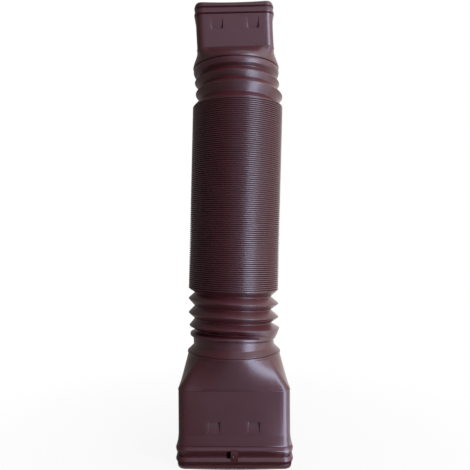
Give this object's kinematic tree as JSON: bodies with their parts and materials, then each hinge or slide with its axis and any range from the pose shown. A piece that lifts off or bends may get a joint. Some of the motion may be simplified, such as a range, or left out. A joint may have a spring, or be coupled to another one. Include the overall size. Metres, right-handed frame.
{
  "type": "flexible downspout extension",
  "caption": "Moulded tube that carries roof water away from a downspout, with bellows folds between two rectangular sockets.",
  "frame": {"origin": "centre of the outlet's rim, on the plane the tube stands on", "axes": "+Z along the tube towards the inlet, +X along the wide side of both sockets, the front with the screw pad faces -Y"},
  "size_m": [0.13, 0.109, 0.52],
  "materials": {
    "moulded_plastic": "dark maroon brown moulded plastic with a soft gloss"
  },
  "bodies": {
    "root": {"downspout_extension": "moulded_plastic"}
  },
  "joints": []
}
